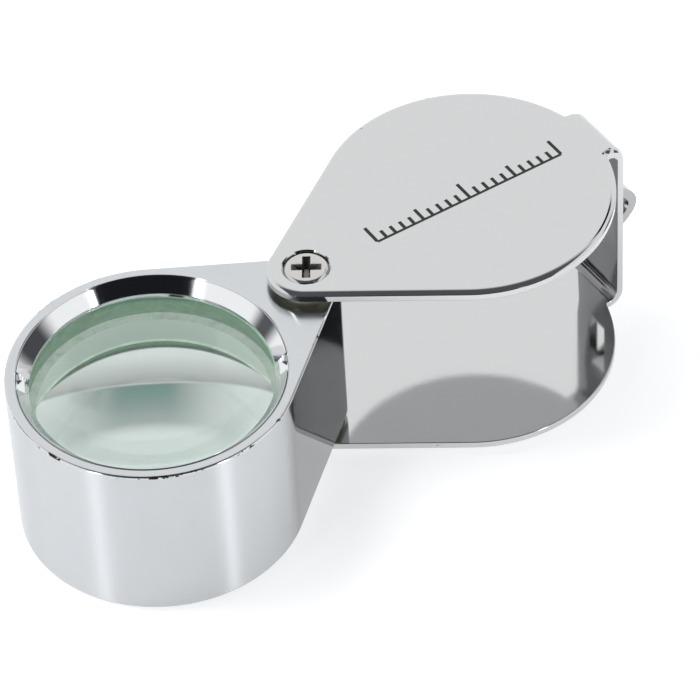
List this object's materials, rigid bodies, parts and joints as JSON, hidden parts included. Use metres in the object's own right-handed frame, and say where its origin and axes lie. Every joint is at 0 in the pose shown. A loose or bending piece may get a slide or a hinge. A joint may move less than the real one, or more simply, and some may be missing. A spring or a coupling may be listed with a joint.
{
  "type": "folding hand lens",
  "caption": "Folding magnifier: a pear-shaped metal housing with a pair of lenses swings on pivot screws out of a bent sheet-metal cover with a lanyard loop.",
  "frame": {"origin": "on the cover's flat underside, under the centre of its round end, which is where the optical axis stands when the lens is folded shut", "axes": "+X from the pivot to the end wall with the lanyard loop, +Z along the pivot axis towards the eye side"},
  "size_m": [0.0656, 0.0281, 0.02],
  "materials": {
    "cover_metal": "bright nickel-chrome plate on bent sheet steel",
    "housing_metal": "bright nickel-chrome plate on a turned brass housing",
    "ring_metal": "polished nickel-chrome plate on turned brass",
    "lens_glass": "polished crown glass, ground edge",
    "spacer_metal": "turned aluminium tube, satin",
    "screw_metal": "nickel-plated steel with a cross recess",
    "washer_metal": "stamped bronze, burnished by turning"
  },
  "bodies": {
    "cover": {"cover": "cover_metal"},
    "lens_unit": {"lens_housing": "housing_metal", "eye_lens": "lens_glass", "field_lens": "lens_glass", "lens_spacer": "spacer_metal", "eye_ring": "ring_metal", "field_ring": "ring_metal", "pivot_screw_top": "screw_metal", "pivot_screw_bottom": "screw_metal", "pivot_washer_top": "washer_metal", "pivot_washer_bottom": "washer_metal"}
  },
  "joints": [
    {"name": "swing", "type": "hinge", "parent": "cover", "child": "lens_unit", "pos_m": [-0.0174, 0, 0.01], "axis": [0, 0, 1], "continuous": true}
  ]
}
